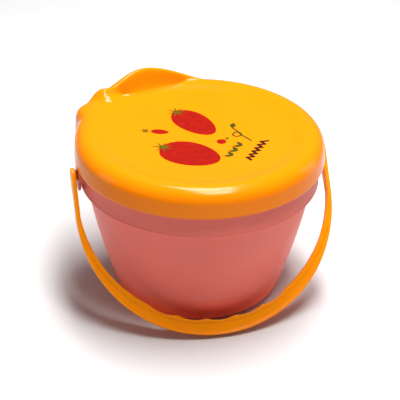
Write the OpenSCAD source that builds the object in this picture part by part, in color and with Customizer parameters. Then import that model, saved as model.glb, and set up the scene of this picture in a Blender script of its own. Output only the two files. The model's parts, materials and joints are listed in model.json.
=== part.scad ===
// Child's sand bucket: a tapered pail with two ears, a dished lid with a leaf-and-stalk
// finger tab, printed fruit on the dish, and an arched bail with finger scallops.
// Origin: centre of the foot on the ground. +Z is up, the bail pivots along X, and the
// front, where the bail hangs, is -Y.

/* [Pail] */
// Height of the pail to its rim
pail_h = 134.5; // [134:0.5:135]
// Outer radius of the collar under the lid
collar_r = 95.5; // [95:0.5:95.5]
// Height of the step where the collar meets the tapered wall
step_z = 100; // [94:1:102]
// Outer radius of the wall just under the step
wall_top_r = 91; // [88:0.5:92]
// Radius of the flat foot
foot_r = 55; // [52:1:58]
// Radius that rounds the wall into the foot
heel_r = 14; // [10:1:16]
// Outward bulge of the tapered wall at half height
wall_bulge = 2; // [0:0.5:3]
// Wall thickness of the pail
pail_wall = 2.2; // [1.8:0.1:2.4]

/* [Ears] */
// Height of the bail's pivot line
pivot_z = 111.6; // [110:0.1:112]
// Distance from the centre to the inner face of each ear plate
ear_in = 97.4; // [97.2:0.1:97.6]
// Thickness of each ear plate
ear_t = 1.8; // [1.4:0.1:1.8]
// Half width of each ear
ear_half = 9; // [7:0.5:10]
// Radius of the hole in each ear
ear_hole_r = 3.05; // [3.02:0.01:3.1]

/* [Lid] */
// Outer radius of the skirt at its lower edge
lid_r = 100; // [99.8:0.1:100.2]
// Height of the skirt's lower edge above the ground
skirt_z = 119; // [118.8:0.1:119.2]
// Height of the lid from skirt edge to rim crown
lid_h = 22; // [21.8:0.1:22.4]
// Radius that rounds the rim crown
crown_r = 12; // [11.5:0.5:12]
// Draft of the skirt
skirt_draft = 0.6; // [0.2:0.1:0.8]
// Thickness of the lid
lid_wall = 2; // [1.8:0.1:2.2]
// Depth of the dish at its centre below the crown
dish_depth = 7; // [6:0.5:8]
// Radius of curvature of the dish floor
dish_curve_r = 700; // [600:50:1500]
// Radius where the dish floor starts to rise to the crown
dish_floor_r = 72; // [70:1:74]

/* [Leaf tab] */
// Direction of the leaf's middle, from +X
leaf_angle = 103; // [95:1:110]
// Height of the leaf crest above the crown
leaf_rise = 12; // [8:0.5:13]
// Half length of the leaf
leaf_half = 32; // [28:1:34]
// Direction of the stalk bump, from +X
stalk_angle = 131; // [128:1:138]
// Height of the stalk bump above the crown
stalk_rise = 5; // [3:0.5:6]
// How far the finger tab beside the stalk stands out past the skirt
tab_out = 10; // [6:0.5:10.5]
// Direction of the finger tab, from +X
tab_angle = 142; // [138:1:144]

/* [Bail] */
// Distance from the pivot line to the far edge of the arch
bail_reach = 139; // [134:0.5:139]
// Outer radius of the arch
bail_r = 104.5; // [104.3:0.1:106]
// Thickness of the straps at the pivots
strap_t = 3.4; // [3:0.1:3.6]
// Width of the straps at the pivots
strap_w = 10; // [8:0.5:11]
// Width of the grip across the middle of the arch
grip_w = 13.5; // [9:0.5:14]
// Thickness of the grip plate
grip_t = 5; // [4:0.5:5]
// Angle of the hanging bail below level
bail_hang = 51.5; // [20:0.5:51.5]
// Radius of the studs that turn in the ears
stud_r = 3; // [2.95:0.01:3]
// Depth of each finger scallop
scallop_depth = 1.8; // [1:0.1:2.2]

/* [Printed fruit] */
// Thickness of the printed ink
ink_t = 0.2; // [0.1:0.05:0.3]
// Length of the front berry
front_berry_len = 50; // [40:1:54]
// Width of the front berry
front_berry_w = 38; // [30:1:40]
// Length of the back berry
back_berry_len = 46; // [36:1:50]
// Width of the back berry
back_berry_w = 27; // [22:1:32]

/* [Hidden] */
round_fn = 96;
heel_tilt = 20;
heel_top_r = foot_r + heel_r * cos(heel_tilt);
heel_top_z = heel_r * (1 - sin(heel_tilt));
foot_ring = 4;
foot_recess = 1.5;
floor_z = foot_recess + pail_wall;
rim_inner_r = collar_r - pail_wall;
rim_bead = 1.1;
bead_drop = 1.2;
bead_h = 3.2;
bead_slope = 0.8;
ear_out = ear_in + ear_t;
ear_top_z = skirt_z - 0.5;
ear_tab_drop = 13;
ear_plate_drop = 4;
ear_rib = 1.5;
ear_web = 2;
ear_root = rim_inner_r + 1;
crown_z = skirt_z + lid_h;
dish_z = crown_z - dish_depth;
crown_base_z = crown_z - crown_r;
crown_mid_r = lid_r - skirt_draft - crown_r;
plug_r = rim_inner_r - 0.5;
plug_t = 1.6;
plug_drop = 7.5;
plug_bevel_r = 0.4;
plug_bevel_z = 1;
seat_r = collar_r + 0.3;
seat_t = 1.6;
ring_top_in = crown_z - 1.6;
ring_top_out = crown_z - 2.2;
leaf_tube_r = 5.5;
leaf_plan_r = 94.5;
leaf_reach = 100.5;
leaf_path_z = crown_z + leaf_rise - leaf_tube_r;
leaf_arch_r = (leaf_half * leaf_half + leaf_rise * leaf_rise) / (2 * leaf_rise);
pocket_plan_r = 82.3;
pocket_half = 31;
pocket_out = 5;
pocket_in = 2.5;
pocket_z = crown_z - 3.5;
stalk_plan_r = 91;
stalk_tube_r = 7.5;
stalk_bar_r = 7.2;
stalk_len = 14;
stalk_tilt = 100;
tab_r = 26.5;
tab_in_r = 86;
tab_top_z = crown_z - 0.8;
tab_bevel = 4;
tab_lift = 0.8;
bail_leg = bail_reach - bail_r;
strap_in = bail_r - strap_t;
strap_end_r = 6;
grip_reach = bail_reach - grip_w;
inner_r = (strap_in * strap_in + pow(grip_reach - bail_leg, 2)) / (2 * (grip_reach - bail_leg));
inner_s = grip_reach - inner_r;
scallop_r = 30;
scallop_pitch = 13.2;
recess_depth = 1;
recess_rim = 1.9;
recess_start = bail_leg + 20;
strap_flat_end = 12;
grip_start = 70;
stud_shoulder_r = 4.2;
stud_gap = 0.3;
stud_head_in = collar_r + 0.4;
berry_red = [0.85, 0.10, 0.03];
leaf_green = [0.45, 0.47, 0.05];
vine_green = [0.25, 0.45, 0.10];
front_spot = [-14, -26];
front_turn = -40;
back_spot = [1, 24];
back_turn = -62;
calyx_leaves = 7;
seed_spots = [[-0.35, 0.4], [-0.1, -0.35], [0.15, 0.3], [0.5, -0.1]];
seed_half = 0.5;
bud_spot = [-29.5, 14.5];
bud_turn = -14;
cherry_spot = [15, -10.5];
cherry_r = 3.8;
vine_spot = [30, -2];
vine_half = 0.7;
vine_loop_r = 3.4;
vine_path = [[8, -13], [5.5, -7], [3, -2], [1.5, 5], [-1, 11]];
row_turn = 52;
row_step = 9;
sprout_spot = [24, -28.5];
squiggle_spot = [38, -32];
squiggle_steps = 12;
squiggle_len = 34;
squiggle_swing = 2.2;
squiggle_half = 1.1;

// Outer radius of the wall at height z: a taper with a slight bulge
function wall_r(z) = let (t = (z - heel_top_z) / (step_z - heel_top_z))
    heel_top_r + (wall_top_r - heel_top_r) * t + 4 * wall_bulge * t * (1 - t);

// Points down the wall and round the heel, set in by inset
function wall_points(inset, top_z, low_z) = concat(
    [[wall_r(step_z) - inset, top_z]],
    [for (i = [1:9]) let (z = step_z + (heel_top_z - step_z) * i / 9) [wall_r(z) - inset, z]],
    [for (a = [-30:-10:-80]) let (z = heel_r + (heel_r - inset) * sin(a))
        if (z > low_z) [foot_r + (heel_r - inset) * cos(a), z]]);

function reversed(points) = [for (i = [len(points) - 1:-1:0]) points[i]];

// Height of the dish and crown at radius r: a shallow bowl, then a smooth rise to the crown
function dish_top(r) =
    let (edge_z = dish_z + pow(dish_floor_r, 2) / (2 * dish_curve_r),
        span = crown_mid_r - dish_floor_r,
        u = (r - dish_floor_r) / span,
        slope = dish_floor_r / dish_curve_r * span)
    r <= dish_floor_r ? dish_z + r * r / (2 * dish_curve_r) :
    edge_z + (crown_z - edge_z) * (3 * u * u - 2 * pow(u, 3)) + slope * (u - 2 * u * u + pow(u, 3));

// Points from the axis out to the crown, lowered by drop
function dish_points(drop) = concat(
    [for (i = [0:9]) let (r = dish_floor_r * i / 9) [r, dish_top(r) - drop]],
    [for (i = [1:6]) let (r = dish_floor_r + (crown_mid_r - dish_floor_r) * i / 6)
        [r, dish_top(r) - drop]]);

// Points over the outer quarter of the crown
function crown_points(rad) = [for (a = [75:-15:0])
    [crown_mid_r + rad * cos(a), crown_base_z + rad * sin(a)]];

// Points of a berry seen from above: an ellipse that narrows to the tip on +X
function berry_points(len, wide) = [for (a = [0:10:350])
    [len / 2 * cos(a), wide / 2 * sin(a) * (1 - 0.14 * cos(a))]];

// Points of a leafy crown: narrow leaves between a small and a large radius
function star_points(leaves, small, large) = [for (i = [0:2 * leaves - 1])
    let (a = i * 180 / leaves, r = i % 2 == 0 ? large : small) [r * cos(a), r * sin(a)]];

// Points of a leaf from the origin along +X: two arcs that meet in a point
function leaf_points(len, wide) = concat(
    [for (i = [0:8]) [len * i / 8, wide / 2 * sin(180 * i / 8)]],
    [for (i = [7:-1:1]) [len * i / 8, -wide / 2 * sin(180 * i / 8)]]);

// Point i along a wavy line
function squiggle_point(i) = [squiggle_len * (i / squiggle_steps - 0.5),
    i % 2 == 0 ? -squiggle_swing : squiggle_swing];

// A straight stroke with square ends between two points
module stroke(from, to, half) {
    run = to - from;
    translate(from) rotate(atan2(run[1], run[0])) translate([-half, -half]) square([norm(run) + 2 * half, 2 * half]);
}

module pail_shell() {
    rotate_extrude($fn = round_fn) polygon(concat(
        [[0, foot_recess], [foot_r - foot_ring - foot_recess, foot_recess], [foot_r - foot_ring, 0], [foot_r, 0]],
        reversed(wall_points(0, step_z, 0)),
        [[collar_r, step_z], [collar_r, pail_h - bead_drop - bead_h],
            [collar_r + rim_bead, pail_h - bead_drop - bead_h + bead_slope],
            [collar_r + rim_bead, pail_h - bead_drop - bead_slope], [collar_r, pail_h - bead_drop], [collar_r, pail_h],
            [rim_inner_r, pail_h], [rim_inner_r, step_z + pail_wall]],
        wall_points(pail_wall, step_z + pail_wall, floor_z),
        [[foot_r, floor_z], [0, floor_z]]));
}

// One ear on the +X side: a plate with a hanging tab, held off the collar by ribs
module ear() {
    plate_low_z = pivot_z - ear_plate_drop;
    difference() {
        union() {
            translate([ear_in, -ear_half, plate_low_z]) cube([ear_t, 2 * ear_half, ear_top_z - plate_low_z]);
            translate([ear_in, 0, pivot_z - ear_tab_drop + ear_half]) rotate([0, 90, 0])
                cylinder(r = ear_half, h = ear_t, $fn = round_fn);
        }
        translate([ear_in - 1, 0, pivot_z]) rotate([0, 90, 0])
            cylinder(r = ear_hole_r, h = ear_t + 2, $fn = round_fn);
    }
    translate([ear_root, -ear_half, ear_top_z - ear_web]) cube([ear_out - ear_root, 2 * ear_half, ear_web]);
    for (y = [-ear_half, ear_half - ear_rib]) translate([ear_root, y, plate_low_z])
        cube([ear_out - ear_root, ear_rib, ear_top_z - plate_low_z]);
}

module bucket() {
    color([0.91, 0.50, 0.49]) {
        pail_shell();
        ear();
        mirror([1, 0, 0]) ear();
    }
}

// Round finger tab that stands out past the skirt, set in by wall on every side
module finger_tab(wall, low_z) {
    difference() {
        rotate([0, 0, tab_angle]) translate([lid_r + tab_out - tab_r, 0, 0]) rotate_extrude($fn = round_fn)
            polygon([[0, low_z], [0, tab_top_z - wall], [tab_r - tab_bevel - wall / 2, tab_top_z - wall],
                [tab_r - wall, tab_top_z - tab_bevel - wall / 2], [tab_r - wall, low_z]]);
        translate([0, 0, low_z - 1]) cylinder(r = tab_in_r + wall, h = lid_h + 10, $fn = round_fn);
    }
}

// Everything under the lid's outer skin, or under its inner skin when wall > 0
module lid_block(wall) {
    low_z = wall > 0 ? skirt_z - 1 : skirt_z;
    finger_tab(wall, wall > 0 ? low_z : low_z + tab_lift);
    rotate_extrude($fn = round_fn) polygon(concat(
        [[0, low_z]], dish_points(wall), crown_points(crown_r - wall), [[lid_r - wall, low_z]]));
}

// Rings inside the lid: the flat seat that rests on the pail's rim, and the plug inside it
module lid_rings() {
    rotate_extrude($fn = round_fn) polygon([[plug_r - plug_t, pail_h - plug_drop],
        [plug_r - plug_bevel_r, pail_h - plug_drop], [plug_r, pail_h - plug_drop + plug_bevel_z], [plug_r, pail_h],
        [seat_r, pail_h], [seat_r, pail_h + seat_t], [plug_r, ring_top_out], [plug_r - plug_t, ring_top_in]]);
}

// Leaf crest: the top of an upright ring that stands on the crown
module leaf_crest() {
    rotate([0, 0, leaf_angle]) translate([leaf_plan_r, 0, leaf_path_z - leaf_arch_r]) rotate([0, -90, 0])
        rotate_extrude($fn = round_fn) translate([leaf_arch_r, 0]) circle(r = leaf_tube_r, $fn = 48);
}

// Stalk bump: a short bar with a round end that lies across the crown
module stalk_bump() {
    rotate([0, 0, stalk_angle]) translate([stalk_plan_r, 0, crown_z + stalk_rise - stalk_tube_r]) {
        sphere(r = stalk_tube_r, $fn = 48);
        rotate([0, -stalk_tilt, 0]) cylinder(r = stalk_bar_r, h = stalk_len, $fn = 48);
    }
}

// Leaf-shaped pocket between the crest and the dish, grown by extra on every side
module leaf_pocket(extra) {
    out_r = (pow(pocket_half, 2) + pow(pocket_out, 2)) / (2 * pocket_out) + extra;
    in_r = (pow(pocket_half, 2) + pow(pocket_in, 2)) / (2 * pocket_in) + extra;
    rotate([0, 0, leaf_angle]) translate([pocket_plan_r, 0, pocket_z - extra]) intersection() {
        translate([pocket_out - out_r + extra, 0, 0]) cylinder(r = out_r, h = 30, $fn = 200);
        translate([in_r - pocket_in - extra, 0, 0]) cylinder(r = in_r, h = 30, $fn = 200);
    }
}

module lid() {
    color([0.98, 0.72, 0.05]) union() {
        difference() {
            union() {
                lid_block(0);
                intersection() {
                    union() {
                        leaf_crest();
                        stalk_bump();
                    }
                    translate([0, 0, dish_z]) cylinder(r = leaf_reach, h = 40, $fn = 180);
                }
            }
            leaf_pocket(0);
            difference() {
                lid_block(lid_wall);
                leaf_pocket(lid_wall);
            }
        }
        lid_rings();
    }
}

// Outline of the bail in its own plane: legs, a round outer arch and a wider grip inside
module bail_outline() {
    difference() {
        union() {
            translate([0, bail_leg]) circle(r = bail_r, $fn = 240);
            translate([-bail_r, -strap_end_r]) square([2 * bail_r, bail_leg + strap_end_r]);
        }
        intersection() {
            translate([0, inner_s]) circle(r = inner_r, $fn = 240);
            translate([-strap_in, bail_leg]) square([2 * strap_in, bail_reach]);
        }
        translate([-strap_in, -strap_end_r - 1]) square([2 * strap_in, bail_leg + strap_end_r + 1.01]);
        for (i = [-2:2]) translate([0, inner_s]) rotate(i * scallop_pitch)
            translate([0, inner_r + scallop_depth - scallop_r]) circle(r = scallop_r, $fn = 120);
    }
}

// Side outline of the bail: round strap ends that taper to the thinner grip
module bail_side() {
    circle(r = strap_end_r, $fn = round_fn);
    polygon([[0, -strap_end_r], [strap_flat_end, -strap_w / 2], [grip_start, -grip_t / 2],
        [bail_reach + 1, -grip_t / 2], [bail_reach + 1, grip_t / 2], [grip_start, grip_t / 2],
        [strap_flat_end, strap_w / 2], [0, strap_end_r]]);
}

// Crescent sunk into the upper face of the grip, which fades out along the arch
module grip_recess() {
    intersection() {
        difference() {
            translate([0, bail_leg]) circle(r = bail_r - recess_rim, $fn = 240);
            translate([0, inner_s]) circle(r = inner_r + recess_rim + scallop_depth, $fn = 240);
        }
        translate([-bail_r, recess_start]) square([2 * bail_r, bail_reach]);
    }
}

// Stud on the +X strap: a shoulder, a neck that turns in the ear and a head behind it
module bail_stud() {
    rotate([0, 90, 0]) {
        translate([0, 0, ear_out + stud_gap])
            cylinder(r = stud_shoulder_r, h = strap_in + 0.5 - ear_out - stud_gap, $fn = round_fn);
        translate([0, 0, stud_head_in]) cylinder(r = stud_r, h = strap_in - stud_head_in, $fn = round_fn);
        translate([0, 0, stud_head_in]) cylinder(r = stud_shoulder_r, h = ear_in - stud_gap - stud_head_in, $fn = round_fn);
    }
}

module handle() {
    color([0.95, 0.62, 0.06]) translate([0, 0, pivot_z]) rotate([bail_hang, 0, 0]) {
        difference() {
            intersection() {
                rotate([0, 0, 180]) translate([0, 0, -strap_w]) linear_extrude(2 * strap_w) bail_outline();
                translate([-bail_r - 1, 0, 0]) rotate([90, 0, 90]) mirror([1, 0, 0])
                    linear_extrude(2 * bail_r + 2) bail_side();
            }
            rotate([0, 0, 180]) translate([0, 0, grip_t / 2 - recess_depth]) linear_extrude(strap_w) grip_recess();
        }
        bail_stud();
        mirror([1, 0, 0]) bail_stud();
    }
}

// Ink on the dish: the part of a thin skin of the dish that lies in the child outline
module ink(spot, turn) {
    intersection() {
        rotate_extrude($fn = round_fn) polygon(concat(
            [for (i = [0:9]) let (r = dish_floor_r * i / 9) [r, dish_top(r)]],
            [for (i = [9:-1:0]) let (r = dish_floor_r * i / 9) [r, dish_top(r) + ink_t]]));
        translate([spot[0], spot[1], dish_z - 1]) rotate([0, 0, turn]) linear_extrude(12) children();
    }
}

// A berry's outline without the places where its calyx and seeds are printed
module berry_outline(len, wide) {
    difference() {
        polygon(berry_points(len, wide));
        calyx_outline(len);
        seed_outline(len, wide);
    }
}

module calyx_outline(len) {
    translate([-len / 2 + 1, 0]) polygon(star_points(calyx_leaves, len * 0.05, len * 0.17));
}

module seed_outline(len, wide) {
    for (spot = seed_spots) translate([spot[0] * len / 2, spot[1] * wide / 2])
        polygon([for (a = [0:60:300]) [seed_half * 1.5 * cos(a), seed_half * sin(a)]]);
}

module print_berry_front() {
    color(berry_red) ink(front_spot, front_turn) berry_outline(front_berry_len, front_berry_w);
}

module print_berry_back() {
    color(berry_red) ink(back_spot, back_turn) berry_outline(back_berry_len, back_berry_w);
}

// A slim pointed fruit at the left
module print_bud() {
    color(berry_red) ink(bud_spot, bud_turn) polygon(berry_points(14, 7));
}

// A small round fruit between the berries and the vine
module print_cherry() {
    color(berry_red) ink(cherry_spot, 0) circle(r = cherry_r, $fn = 48);
}

module print_seeds() {
    color([0.45, 0.05, 0.03]) {
        ink(front_spot, front_turn) seed_outline(front_berry_len, front_berry_w);
        ink(back_spot, back_turn) seed_outline(back_berry_len, back_berry_w);
    }
}

module print_calyx_front() {
    color(leaf_green) ink(front_spot, front_turn) calyx_outline(front_berry_len);
}

module print_calyx_back() {
    color(leaf_green) ink(back_spot, back_turn) calyx_outline(back_berry_len);
}

// Small leaves on the slim fruit and the round fruit
module print_leaflets() {
    color(leaf_green) {
        ink(bud_spot, bud_turn) translate([-11.6, 0]) polygon(star_points(6, 1.6, 4.4));
        ink(cherry_spot, 35) translate([cherry_r + 0.5, 0]) polygon(leaf_points(5, 2.6));
    }
}

// Vine: a stem with one loop and a pointed leaf at its end
module print_vine() {
    color(vine_green) ink(vine_spot, 0) {
        for (i = [0:len(vine_path) - 2]) stroke(vine_path[i], vine_path[i + 1], vine_half);
        difference() {
            circle(r = vine_loop_r + vine_half, $fn = 48);
            circle(r = vine_loop_r - vine_half, $fn = 48);
        }
        translate(vine_path[len(vine_path) - 1]) rotate(70) polygon(leaf_points(8, 5));
    }
}

// Three sprouts in a row, each a pair of leaves
module print_sprouts() {
    color(vine_green) for (i = [-1:1])
        ink(sprout_spot + i * row_step * [cos(row_turn), sin(row_turn)], row_turn + 90)
            for (turn = [-30, 30]) rotate(turn) polygon(leaf_points(8, 3.4));
}

// A wavy line beside the sprouts
module print_squiggle() {
    color([0.24, 0.10, 0.04]) ink(squiggle_spot, row_turn)
        for (i = [0:squiggle_steps - 1]) stroke(squiggle_point(i), squiggle_point(i + 1), squiggle_half);
}

bucket();
lid();
handle();
print_berry_front();
print_berry_back();
print_bud();
print_cherry();
print_seeds();
print_calyx_front();
print_calyx_back();
print_leaflets();
print_vine();
print_sprouts();
print_squiggle();
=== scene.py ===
import json
import math

import bpy
import numpy as np
from mathutils import Matrix, Vector


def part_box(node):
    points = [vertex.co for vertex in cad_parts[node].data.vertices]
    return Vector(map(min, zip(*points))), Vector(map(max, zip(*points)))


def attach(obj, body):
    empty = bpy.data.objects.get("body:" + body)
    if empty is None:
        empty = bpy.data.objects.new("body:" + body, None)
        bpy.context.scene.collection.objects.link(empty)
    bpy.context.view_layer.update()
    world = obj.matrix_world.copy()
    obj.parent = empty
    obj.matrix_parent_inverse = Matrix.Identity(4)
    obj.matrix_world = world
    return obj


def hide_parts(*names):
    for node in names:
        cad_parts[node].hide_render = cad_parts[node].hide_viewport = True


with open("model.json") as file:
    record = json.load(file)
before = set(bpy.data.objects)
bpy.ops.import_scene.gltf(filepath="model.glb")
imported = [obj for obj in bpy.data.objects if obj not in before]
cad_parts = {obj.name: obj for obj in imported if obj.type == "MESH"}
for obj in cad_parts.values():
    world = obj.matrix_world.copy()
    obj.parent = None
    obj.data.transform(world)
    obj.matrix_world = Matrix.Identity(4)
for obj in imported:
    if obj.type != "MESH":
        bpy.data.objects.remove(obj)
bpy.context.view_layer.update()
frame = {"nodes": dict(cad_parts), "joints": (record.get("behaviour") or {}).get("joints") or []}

# ---- sizes taken from the CAD frame
LID_LOW, LID_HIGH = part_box("lid")
PAIL_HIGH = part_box("bucket")[1]
SKIRT_Z, LID_R = LID_LOW.z, LID_HIGH.x
PAIL_TOP, EAR_OUT = PAIL_HIGH.z, PAIL_HIGH.x
PIVOT_Z = [j for j in frame["joints"] if j["name"] == "bail_swing"][0]["pos_m"][2]

# ---- pail
PAIL_WALL = 0.0022
EDGE_ROUND = 0.0006
BEAD_OUT, BEAD_HALF, BEAD_FLAT = 0.0011, 0.0016, 0.0008
BEAD_MID_Z = PAIL_TOP - 0.0028
COLLAR_R = PAIL_HIGH.y - BEAD_OUT
STEP_Z, STEP_ROUND = 0.100, 0.0012
WALL_TOP_R, WALL_BULGE = 0.091, 0.002
FOOT_R, FOOT_RING, FOOT_RECESS, FOOT_ROUND = 0.055, 0.004, 0.0015, 0.0008
HEEL_R, HEEL_TILT, HEEL_END = 0.014, math.radians(20), math.radians(82)
HEEL_TOP_R = FOOT_R + HEEL_R * math.cos(HEEL_TILT)
HEEL_TOP_Z = HEEL_R * (1 - math.sin(HEEL_TILT))
LEDGE_RISE, LEDGE_IN, LEDGE_DROP = 0.001, 0.0008, 0.0004
WALL_RINGS, HEEL_RINGS = 40, 14

# the thin bead on the collar's lower edge, as steps of LIP_OUT outwards and upwards
LIP_OUT = 0.0004
LIP_SHAPE = [(-1.5, 0), (0, 0.5), (1, 1.5), (1, 2.5), (0.25, 4), (0, 5.5)]

# ---- ears: a plate outside, and a web and two ribs between the plate and the collar
EAR_PLATE, EAR_WEB, EAR_RIB, EAR_ROUND = 0.0018, 0.002, 0.0015, 0.0004
EAR_IN = EAR_OUT - EAR_PLATE
EAR_ROOT = COLLAR_R - PAIL_WALL + 0.001
EAR_HALF, EAR_DROP, EAR_HOLE_R = 0.009, 0.013, 0.00305
EAR_TOP_Z = SKIRT_Z - 0.0005
RIB_DROP = 0.004
EAR_INSET = 0.0003
WEB_SINK, RIB_SINK = 0.0004, 0.0006
EAR_POINTS = 48

# ---- lid
LID_WALL, SKIRT_DRAFT, CROWN_R = 0.002, 0.0006, 0.012
CROWN_Z = SKIRT_Z + 0.022
CROWN_LOW_Z = CROWN_Z - CROWN_R
RIM_R = LID_R - SKIRT_DRAFT
CROWN_MID_R = LID_R - SKIRT_DRAFT - CROWN_R
DISH_Z, DISH_FLOOR_R, DISH_CURVE = CROWN_Z - 0.007, 0.072, 0.7
SKIRT_STEPS, SKIRT_EDGE = 6, 0.0008
PLUG_R, PLUG_WALL, PLUG_DEPTH, PLUG_CHAMFER = 0.0928, 0.0016, 0.0075, 0.0010
PLUG_TIP, PLUG_TOP_OUT, PLUG_TOP_IN = 0.0002, 0.0030, 0.0024
SEAT_R, SEAT_WALL, RING_ROUND = 0.0958, 0.0016, 0.0004
SKIRT_NICK, SKIRT_CUT_OUT, SKIRT_CUT_IN, SKIRT_CUT_UP = 0.0002, 0.0007, 0.0005, 0.0006
DISH_RINGS, RISE_RINGS, CROWN_RINGS, INNER_RINGS, UNDER_RINGS = 19, 56, 28, 14, 40

# leaf, stalk and finger tab: directions are degrees from +X, and a span is its start, peak and end
TAB_OUT, TAB_SPAN = 0.0100, (116.8, 142.3, 154.0)
LEAF_OUT, LEAF_OUT_SPAN = 0.003, (86, 110, 143.7)
TAIL_OUT, TAIL_SPAN = 0.0020, (138, 150, 174)
OUT_FROM_R, OUT_WIDTH = 0.078, 0.018
LEAF_MID, LEAF_HALF, LEAF_RISE = 104.5, 20.5, 0.0144
LEAF_SPAN = (74.4, 107.9, 136.2)
LEAF_IN_R, LEAF_BEND, LEAF_TIP = 0.0806, 0.004, 0.003
LEAF_EDGE, LEAF_FOOT_R, LEAF_TOP_R = 0.0022, 0.0868, 0.0904
LEAF_CLIMB, LEAF_FULLNESS = 1.25, 0.72
STALK_AT, STALK_HALF, STALK_RISE = 132.0, 6.7, 0.005
STALK_REACH = (0.080, 0.0925, 0.118)
POCKET_DEPTH, POCKET_OUT_R, POCKET_FADE = 0.0036, 0.0915, 0.005
POCKET_HALF, POCKET_END = 24.0, 8
RIDGE_RISE, RIDGE_IN, RIDGE_WIDTH = 0.0008, 0.0007, 0.0009
RIDGE_HALF, RIDGE_END = 21.5, 5

AXIS_R = 0.0001
TURNS = 480
FILLET_STEPS = 5
SHARP_LATHE, SHARP_EAR = 50, 40


def smooth(t):
    """Zero below 0, one above 1 and an even ease between."""
    t = np.clip(t, 0.0, 1.0)
    return t * t * (3 - 2 * t)


def hump(x, low, peak, high):
    """A smooth rise from low to peak and fall to high."""
    return np.where(x < peak, smooth((x - low) / (peak - low)), smooth((high - x) / (high - peak)))


def mesh_object(name, verts, faces, material, sharp):
    """A smooth-shaded mesh that keeps edges sharper than the given degrees."""
    mesh = bpy.data.meshes.new(name)
    mesh.from_pydata([tuple(v) for v in verts], [], faces)
    mesh.update()
    mesh.materials.append(material)
    for face in mesh.polygons:
        face.use_smooth = True
    obj = bpy.data.objects.new(name, mesh)
    bpy.context.scene.collection.objects.link(obj)
    mesh.set_sharp_from_angle(angle=math.radians(sharp))
    return obj


def ring_faces(rows, cols):
    """Quads between rows of cols points each; the last row joins the first."""
    faces = []
    for i in range(rows):
        a, b = i * cols, (i + 1) % rows * cols
        for j in range(cols):
            k = (j + 1) % cols
            faces.append((a + j, a + k, b + k, b + j))
    return faces


def revolve(name, profile, material, shape=None):
    """A closed profile of (r, z) points turned round Z; shape may move the points of each ring."""
    angles = np.linspace(0, 2 * math.pi, TURNS, endpoint=False)
    across = np.zeros((len(profile), TURNS))
    r = np.array([p[0] for p in profile])[:, None] + across
    z = np.array([p[1] for p in profile])[:, None] + across
    if shape:
        r, z = shape(r, z, np.degrees(angles)[None, :] + across)
    verts = np.stack([r * np.cos(angles), r * np.sin(angles), z], -1).reshape(-1, 3)
    return mesh_object(name, verts, ring_faces(len(profile), TURNS), material, SHARP_LATHE)


def fillet(points, radii):
    """A closed outline of (r, z) corners with each corner rounded by its radius."""
    out = []
    n = len(points)
    for i, (p, rad) in enumerate(zip(points, radii)):
        p = Vector(p)
        if rad <= 0:
            out.append(tuple(p))
            continue
        a = Vector(points[i - 1]) - p
        b = Vector(points[(i + 1) % n]) - p
        angle = a.angle(b)
        if abs(angle - math.pi) < 1e-3:
            out.append(tuple(p))
            continue
        cut = min(rad / math.tan(angle / 2), a.length * 0.49, b.length * 0.49)
        start, end = p + a.normalized() * cut, p + b.normalized() * cut
        for k in range(FILLET_STEPS + 1):
            t = k / FILLET_STEPS
            out.append(tuple((1 - t) ** 2 * start + 2 * t * (1 - t) * p + t * t * end))
    return out


def dish_top(r):
    """Height of the dish at radius r: a shallow bowl, then a smooth rise to the crown."""
    span = CROWN_MID_R - DISH_FLOOR_R
    u = np.clip((r - DISH_FLOOR_R) / span, 0, 1)
    edge = DISH_Z + DISH_FLOOR_R ** 2 / (2 * DISH_CURVE)
    slope = DISH_FLOOR_R / DISH_CURVE * span
    rise = edge + (CROWN_Z - edge) * (3 * u * u - 2 * u ** 3) + slope * (u - 2 * u * u + u ** 3)
    return np.where(r <= DISH_FLOOR_R, DISH_Z + r * r / (2 * DISH_CURVE), rise)


# ---- materials
# heights where the pail's painted shade and painted reflected glow begin and become full towards the foot
PAINTED_SHADE_FROM_Z, PAINTED_SHADE_FULL_Z = 0.030, 0.009
WAVE_SCALE, WAVE_DEPTH, SPECK_DEPTH = 28, 0.0006, 0.0001


def nodes_of(name):
    """A new material with its nodes, its links and its main shader."""
    mat = bpy.data.materials.new(name)
    mat.use_nodes = True
    return mat, mat.node_tree.nodes, mat.node_tree.links, mat.node_tree.nodes["Principled BSDF"]


def mapped_noise(nodes, links, coords, scale, detail=3.0):
    """Noise of the given scale at coords."""
    noise = nodes.new("ShaderNodeTexNoise")
    noise.inputs["Scale"].default_value = scale
    noise.inputs["Detail"].default_value = detail
    noise.inputs["Roughness"].default_value = 0.55
    links.new(coords, noise.inputs["Vector"])
    return noise.outputs["Fac"]


def ranged(nodes, links, value, low, high, from_low=0.3, from_high=0.7):
    """value between from_low and from_high, moved to between low and high."""
    node = nodes.new("ShaderNodeMapRange")
    node.inputs["From Min"].default_value = from_low
    node.inputs["From Max"].default_value = from_high
    node.inputs["To Min"].default_value = low
    node.inputs["To Max"].default_value = high
    links.new(value, node.inputs["Value"])
    return node.outputs["Result"]


def mixed(nodes, links, factor, a, b):
    """Colour a turning into b by factor; each is three numbers or another node's output."""
    node = nodes.new("ShaderNodeMix")
    node.data_type = "RGBA"
    links.new(factor, node.inputs["Factor"])
    for socket, value in (("A", a), ("B", b)):
        target = [s for s in node.inputs if s.name == socket and s.type == "RGBA"][0]
        if isinstance(value, tuple):
            target.default_value = (*value, 1)
        else:
            links.new(value, target)
    return [s for s in node.outputs if s.type == "RGBA"][0]


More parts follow.
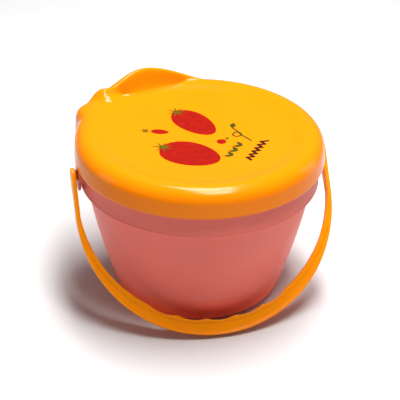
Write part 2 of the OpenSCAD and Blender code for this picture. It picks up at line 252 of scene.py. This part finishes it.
def plastic(name, light, dark, rough, grain, shine, subsurface=0.0, bump=0.12, foot_painted_shade=None):
    """Moulded plastic: two close tints that drift into each other, uneven polish, fine texture.

    grain holds the scales of the drift and of the fine texture; the last colour, if given, is painted shade
    and a painted reflected glow that deepen towards the foot."""
    mat, nodes, links, shader = nodes_of(name)
    place = nodes.new("ShaderNodeTexCoord").outputs["Object"]
    drift = mapped_noise(nodes, links, place, grain[0])
    speck = mapped_noise(nodes, links, place, grain[1], 2.0)
    colour = mixed(nodes, links, ranged(nodes, links, drift, 0, 1), dark, light)
    # painted shade and painted reflection: lower down, the colour turns a deep red that stands in for the
    # heel's shade and the orange bail's glow reflected on the wall
    if foot_painted_shade:
        split = nodes.new("ShaderNodeSeparateXYZ")
        links.new(place, split.inputs[0])
        depth = ranged(nodes, links, split.outputs["Z"], 0, 1, PAINTED_SHADE_FROM_Z, PAINTED_SHADE_FULL_Z)
        colour = mixed(nodes, links, depth, colour, foot_painted_shade)
    links.new(colour, shader.inputs["Base Color"])
    links.new(ranged(nodes, links, speck, rough - 0.05, rough + 0.06), shader.inputs["Roughness"])
    shader.inputs["Specular IOR Level"].default_value = shine
    if subsurface:
        shader.inputs["Subsurface Weight"].default_value = subsurface
        shader.inputs["Subsurface Radius"].default_value = (1.0, 0.45, 0.15)
        shader.inputs["Subsurface Scale"].default_value = 0.004
    dent = nodes.new("ShaderNodeBump")
    dent.inputs["Strength"].default_value = bump
    dent.inputs["Distance"].default_value = SPECK_DEPTH
    links.new(speck, dent.inputs["Height"])
    wave = nodes.new("ShaderNodeBump")
    wave.inputs["Strength"].default_value = 0.12
    wave.inputs["Distance"].default_value = WAVE_DEPTH
    links.new(mapped_noise(nodes, links, place, WAVE_SCALE, 1.0), wave.inputs["Height"])
    links.new(wave.outputs["Normal"], dent.inputs["Normal"])
    links.new(dent.outputs["Normal"], shader.inputs["Normal"])
    return mat


def ink(name, light, dark):
    """Printed ink: a finer texture and less shine than the plastic under it."""
    return plastic(name, light, dark, 0.3, grain=(220, 2500), bump=0.2, shine=0.15)


# the pail's last colour is painted shade and a painted orange reflection at the foot, not the plastic's own
# colour
PAIL = plastic("salmon_plastic", (0.85, 0.185, 0.146), (0.79, 0.165, 0.128), 0.42,
               grain=(14, 1400), shine=0.2, subsurface=0.10, foot_painted_shade=(0.98, 0.092, 0.020))
LID = plastic("yellow_plastic", (0.93, 0.230, 0.0006), (0.90, 0.216, 0.0005), 0.15,
              grain=(12, 1100), shine=0.16)
BAIL = plastic("orange_plastic", (0.92, 0.275, 0.0010), (0.86, 0.245, 0.0008), 0.24,
               grain=(20, 1100), shine=0.12)
RED_INK = ink("red_ink", (0.32, 0.0060, 0.0010), (0.25, 0.0035, 0.0008))
SEED_INK = ink("seed_ink", (0.07, 0.0040, 0.0010), (0.05, 0.0030, 0.0008))
LEAF_INK = ink("leaf_ink", (0.115, 0.085, 0.0020), (0.085, 0.070, 0.0015))
VINE_INK = ink("vine_ink", (0.050, 0.065, 0.0040), (0.035, 0.050, 0.0030))
BROWN_INK = ink("brown_ink", (0.035, 0.012, 0.0030), (0.022, 0.008, 0.0020))


# ---- pail
def wall_r(z):
    """The wall's outer radius at height z: a straight taper with a slight bulge."""
    t = (z - HEEL_TOP_Z) / (STEP_Z - HEEL_TOP_Z)
    return HEEL_TOP_R + (WALL_TOP_R - HEEL_TOP_R) * t + 4 * WALL_BULGE * t * (1 - t)


def wall_line(inset, top, low):
    """Points down the wall and round the heel, set in by inset."""
    line = [(wall_r(z) - inset, z) for z in np.linspace(top, HEEL_TOP_Z, WALL_RINGS)]
    for a in np.linspace(-HEEL_TILT, -HEEL_END, HEEL_RINGS)[1:]:
        z = HEEL_R + (HEEL_R - inset) * math.sin(a)
        if z > low:
            line.append((FOOT_R + (HEEL_R - inset) * math.cos(a), z))
    return line


def pail_profile():
    """The pail's wall in section, from the middle of the foot outwards, up, over and back inside."""
    floor = FOOT_RECESS + PAIL_WALL
    inner = COLLAR_R - PAIL_WALL
    foot = fillet([(AXIS_R, FOOT_RECESS), (FOOT_R - FOOT_RING - FOOT_RECESS, FOOT_RECESS),
                   (FOOT_R - FOOT_RING, 0), (FOOT_R, 0)], [0, FOOT_ROUND, FOOT_ROUND, 0])
    outer = wall_line(0, STEP_Z - STEP_ROUND, 0)[::-1]
    step = [(wall_r(STEP_Z), STEP_Z - STEP_ROUND / 2), (wall_r(STEP_Z) + LIP_OUT, STEP_Z - LIP_OUT / 4)]
    lip = [(COLLAR_R + out * LIP_OUT, STEP_Z + up * LIP_OUT) for out, up in LIP_SHAPE]
    bead_r = COLLAR_R + BEAD_OUT
    bead = fillet([(COLLAR_R, BEAD_MID_Z - BEAD_HALF), (bead_r, BEAD_MID_Z - BEAD_FLAT),
                   (bead_r, BEAD_MID_Z + BEAD_FLAT), (COLLAR_R, BEAD_MID_Z + BEAD_HALF),
                   (COLLAR_R, PAIL_TOP), (inner, PAIL_TOP)],
                  [0, EDGE_ROUND, EDGE_ROUND, 0, EDGE_ROUND, EDGE_ROUND])
    ledge_z = STEP_Z + PAIL_WALL
    ledge = [(inner, ledge_z + LEDGE_RISE), (inner - LEDGE_IN, ledge_z)]
    inside = wall_line(PAIL_WALL, STEP_Z + LEDGE_DROP, floor)
    return foot + outer + step + lip + bead + ledge + inside + [(FOOT_R, floor), (AXIS_R, floor)]


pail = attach(revolve("pail_shell", pail_profile(), PAIL), "pail")
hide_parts("bucket")


BOX_FACES = [(0, 1, 3, 2), (4, 6, 7, 5), (0, 4, 5, 1), (2, 3, 7, 6), (0, 2, 6, 4), (1, 5, 7, 3)]


def box_verts(low, high):
    return [(x, y, z) for x in (low[0], high[0]) for y in (low[1], high[1]) for z in (low[2], high[2])]


def soften(obj):
    """The ear's edges rounded by a bevel."""
    bevel = obj.modifiers.new("soft_edges", "BEVEL")
    bevel.width = EAR_ROUND
    bevel.segments = 3
    bevel.limit_method = "ANGLE"
    bevel.angle_limit = math.radians(SHARP_EAR)
    return obj


def plate_reach(dy, dz):
    """How far the ear plate's outline lies from the pivot in the direction (dy, dz)."""
    reach = min(EAR_HALF / max(abs(dy), 1e-6), (EAR_TOP_Z - PIVOT_Z) / dz if dz > 1e-6 else 1)
    if dz > 0:
        return reach
    low = EAR_HALF - EAR_DROP
    root = low * dz
    return min(reach, root + math.sqrt(max(root * root - low * low + EAR_HALF ** 2, 0)))


def ear(name, side):
    """A plate with a round lower end and a hole, held off the collar by a web and two ribs."""
    outer, hole = [], []
    for k in range(EAR_POINTS):
        a = 2 * math.pi * k / EAR_POINTS
        dy, dz = math.cos(a), math.sin(a)
        reach = plate_reach(dy, dz)
        hole.append((EAR_HOLE_R * dy, PIVOT_Z + EAR_HOLE_R * dz))
        outer.append((reach * dy, PIVOT_Z + reach * dz))
    verts, faces = [], []
    for x in (EAR_IN, EAR_OUT):
        verts += [(side * x, y, z) for y, z in outer] + [(side * x, y, z) for y, z in hole]
    rim_in, hole_in, rim_out, hole_out = (EAR_POINTS * k for k in range(4))
    for k in range(EAR_POINTS):
        n = (k + 1) % EAR_POINTS
        faces += [(rim_in + k, rim_in + n, hole_in + n, hole_in + k),
                  (hole_out + k, hole_out + n, rim_out + n, rim_out + k),
                  (rim_out + k, rim_out + n, rim_in + n, rim_in + k),
                  (hole_in + k, hole_in + n, hole_out + n, hole_out + k)]
    # no two of the plate, web and ribs end in one plane, so that none of their faces coincide
    web_half, web_top, rib_half = EAR_HALF - 2 * EAR_INSET, EAR_TOP_Z - EAR_INSET, EAR_HALF - EAR_INSET
    plates = [((EAR_ROOT, -web_half, EAR_TOP_Z - EAR_WEB), (EAR_IN + WEB_SINK, web_half, web_top))]
    for y in (-rib_half, rib_half - EAR_RIB):
        plates.append(((EAR_ROOT + EAR_INSET, y, PIVOT_Z - RIB_DROP),
                       (EAR_IN + RIB_SINK, y + EAR_RIB, web_top - EAR_INSET)))
    for low, high in plates:
        base = len(verts)
        verts += [(side * x, y, z) for x, y, z in box_verts(low, high)]
        faces += [tuple(base + i for i in face) for face in BOX_FACES]
    obj = mesh_object(name, verts, faces, PAIL, SHARP_EAR)
    obj.data.validate()
    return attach(soften(obj), "pail")


ear("ear_right", 1)
ear("ear_left", -1)


# ---- lid
def lid_shape(r, z, a):
    """The lid's outer skin with its leaf, stalk and finger tab; a is the direction in degrees."""
    out = TAB_OUT * hump(a, *TAB_SPAN) + LEAF_OUT * hump(a, *LEAF_OUT_SPAN) + TAIL_OUT * hump(a, *TAIL_SPAN)
    reach = out * smooth((r - OUT_FROM_R) / OUT_WIDTH)
    aside = np.abs(a - LEAF_MID)
    q = (a - LEAF_MID) / LEAF_HALF
    leaf_in = LEAF_IN_R + LEAF_BEND * q ** 2 + LEAF_TIP * np.abs(q) ** 6
    foot = np.minimum(leaf_in + LEAF_EDGE, LEAF_FOOT_R)
    climb = np.clip((r - foot) / (LEAF_TOP_R - foot), 0, 1) ** LEAF_CLIMB
    leaf = LEAF_RISE * hump(a, *LEAF_SPAN) ** LEAF_FULLNESS * smooth(climb)
    along = hump(a, STALK_AT - STALK_HALF, STALK_AT, STALK_AT + STALK_HALF)
    stalk = STALK_RISE * along * hump(r, *STALK_REACH)
    inside = smooth((r - leaf_in) / LEAF_EDGE) * smooth((POCKET_OUT_R - r) / POCKET_FADE)
    pocket = -POCKET_DEPTH * smooth((POCKET_HALF - aside) / POCKET_END) * inside
    near = np.exp(-((r - leaf_in + RIDGE_IN) / RIDGE_WIDTH) ** 2)
    ridge = RIDGE_RISE * near * smooth((RIDGE_HALF - aside) / RIDGE_END)
    skirt = np.clip((z - SKIRT_Z) / (CROWN_LOW_Z - SKIRT_Z), 0, 1)
    lift = (leaf + stalk) * np.where(z < CROWN_LOW_Z, skirt, 1.0) + pocket + ridge
    return r + reach, z + lift


def crown_arc(radius, angles):
    """Points round the crown's centre."""
    return [(CROWN_MID_R + radius * math.cos(t), CROWN_LOW_Z + radius * math.sin(t)) for t in angles]


def lid_profile():
    """The lid's wall in section, from the middle of the dish outwards, down the skirt and back."""
    dish_r = np.linspace(AXIS_R, DISH_FLOOR_R, DISH_RINGS)
    rise_r = np.linspace(DISH_FLOOR_R, CROWN_MID_R, RISE_RINGS)[1:]
    top = [(float(r), float(dish_top(r))) for r in np.concatenate([dish_r, rise_r])]
    crown = crown_arc(CROWN_R, np.linspace(math.pi / 2, 0, CROWN_RINGS)[1:])
    fall = CROWN_LOW_Z - SKIRT_Z - SKIRT_EDGE
    skirt = [(RIM_R + (LID_R - RIM_R) * k / SKIRT_STEPS, CROWN_LOW_Z - fall * k / SKIRT_STEPS)
             for k in range(1, SKIRT_STEPS + 1)]
    inner_r = LID_R - LID_WALL
    lip = [(LID_R - SKIRT_NICK, SKIRT_Z + SKIRT_NICK), (LID_R - SKIRT_CUT_OUT, SKIRT_Z),
           (inner_r + SKIRT_CUT_IN, SKIRT_Z), (inner_r, SKIRT_Z + SKIRT_CUT_UP)]
    crown_in = crown_arc(CROWN_R - LID_WALL, np.linspace(0, math.pi / 2, INNER_RINGS))
    under_r = np.linspace(CROWN_MID_R, AXIS_R, UNDER_RINGS)[1:]
    under = [(float(r), float(dish_top(r)) - LID_WALL) for r in under_r]
    return top + crown + skirt + lip + crown_in + under


def ring_profile():
    """The plug ring that stands inside the pail's rim, and the flat seat that rests on it."""
    plug_in = PLUG_R - PLUG_WALL
    plug_z = PAIL_TOP - PLUG_DEPTH
    points = [(plug_in, plug_z), (PLUG_R - PLUG_TIP, plug_z), (PLUG_R, plug_z + PLUG_CHAMFER),
              (PLUG_R, PAIL_TOP), (SEAT_R, PAIL_TOP), (SEAT_R, PAIL_TOP + SEAT_WALL),
              (PLUG_R, CROWN_Z - PLUG_TOP_OUT), (plug_in, CROWN_Z - PLUG_TOP_IN)]
    return fillet(points, [RING_ROUND] * len(points))


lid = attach(revolve("lid_shell", lid_profile(), LID, lid_shape), "lid")
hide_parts("lid")
rings = revolve("lid_rings", ring_profile(), LID)
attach(rings, "lid")

# ---- bail and prints keep their CAD shapes
FINISHES = {"handle": BAIL, "print_berry_front": RED_INK, "print_berry_back": RED_INK, "print_bud": RED_INK,
            "print_cherry": RED_INK, "print_seeds": SEED_INK, "print_calyx_front": LEAF_INK,
            "print_calyx_back": LEAF_INK, "print_leaflets": LEAF_INK, "print_vine": VINE_INK,
            "print_sprouts": VINE_INK, "print_squiggle": BROWN_INK}
for name, finish in FINISHES.items():
    mesh = frame["nodes"][name].data
    mesh.materials.clear()
    mesh.materials.append(finish)

# the bail's moulded edges are rounded by a fine even skin, eased over a few steps
SKIN_VOXEL, EASE_FACTOR, EASE_STEPS = 0.00046, 0.5, 7
bail = frame["nodes"]["handle"]
bail.modifiers.new("join_faces", "WELD").merge_threshold = 1e-6
skin = bail.modifiers.new("fine_skin", "REMESH")
skin.mode = "VOXEL"
skin.voxel_size = SKIN_VOXEL
skin.use_smooth_shade = True
ease = bail.modifiers.new("soft_edges", "SMOOTH")
ease.factor = EASE_FACTOR
ease.iterations = EASE_STEPS

# ---- floor, light and camera
ground, _, _, matte = nodes_of("pale_floor")
matte.inputs["Base Color"].default_value = (0.66, 0.66, 0.66, 1)
matte.inputs["Roughness"].default_value = 0.7
bpy.ops.mesh.primitive_plane_add(size=12)
floor = bpy.context.object
floor.name = "floor"
floor.data.materials.append(ground)

world = bpy.data.worlds.new("studio")
bpy.context.scene.world = world
world.use_nodes = True
sky = world.node_tree.nodes["Background"]
sky.inputs["Color"].default_value = (1, 1, 1, 1)
sky.inputs["Strength"].default_value = 0.16
bpy.context.scene.view_settings.view_transform = "Standard"


def area_light(name, place, aim, width, height, power, colour=(1, 1, 1)):
    """A rectangular lamp at place that faces aim."""
    data = bpy.data.lights.new(name, "AREA")
    data.shape = "RECTANGLE"
    data.size = width
    data.size_y = height
    data.energy = power
    data.color = colour
    obj = bpy.data.objects.new(name, data)
    obj.location = place
    obj.rotation_euler = (Vector(aim) - Vector(place)).to_track_quat("-Z", "Y").to_euler()
    bpy.context.scene.collection.objects.link(obj)


MIDDLE = (0, 0, 0.1)
area_light("overhead", (0.12, 0.0, 1.2), MIDDLE, 1.1, 0.34, 30)
area_light("left_side", (-0.9, 0.15, 0.30), MIDDLE, 0.25, 0.6, 0.6)
area_light("right_side", (0.9, 0.10, 0.30), MIDDLE, 0.25, 0.6, 0.7)
area_light("front_fill", (-0.05, -1.15, 0.12), (0, 0, 0.02), 0.7, 0.25, 0.2, (1, 0.88, 0.76))

AZIMUTH, ELEVATION, ROLL = math.radians(-14), math.radians(29.39), math.radians(1)
DISTANCE, AIM_DOWN, AIM_RIGHT = 1.2009, 0.0368, 0.00096
target = Vector((0, 0, SKIRT_Z))
back = Vector((math.sin(AZIMUTH) * math.cos(ELEVATION), -math.cos(AZIMUTH) * math.cos(ELEVATION),
               math.sin(ELEVATION)))
side = Vector((math.cos(AZIMUTH), math.sin(AZIMUTH), 0))
up = back.cross(side)
place = target + back * DISTANCE
aim = target - up * AIM_DOWN + side * AIM_RIGHT
look = (aim - place).normalized()
right = (side - look * side.dot(look)).normalized()
above = right.cross(look)
tilted = right * math.cos(ROLL) + above * math.sin(ROLL)
upright = tilted.cross(look)
camera_data = bpy.data.cameras.new("camera")
camera_data.lens = 135
camera_data.sensor_width = 36
camera = bpy.data.objects.new("camera", camera_data)
camera.matrix_world = Matrix((tilted, upright, -look)).transposed().to_4x4()
camera.location = place
bpy.context.scene.collection.objects.link(camera)
bpy.context.scene.camera = camera
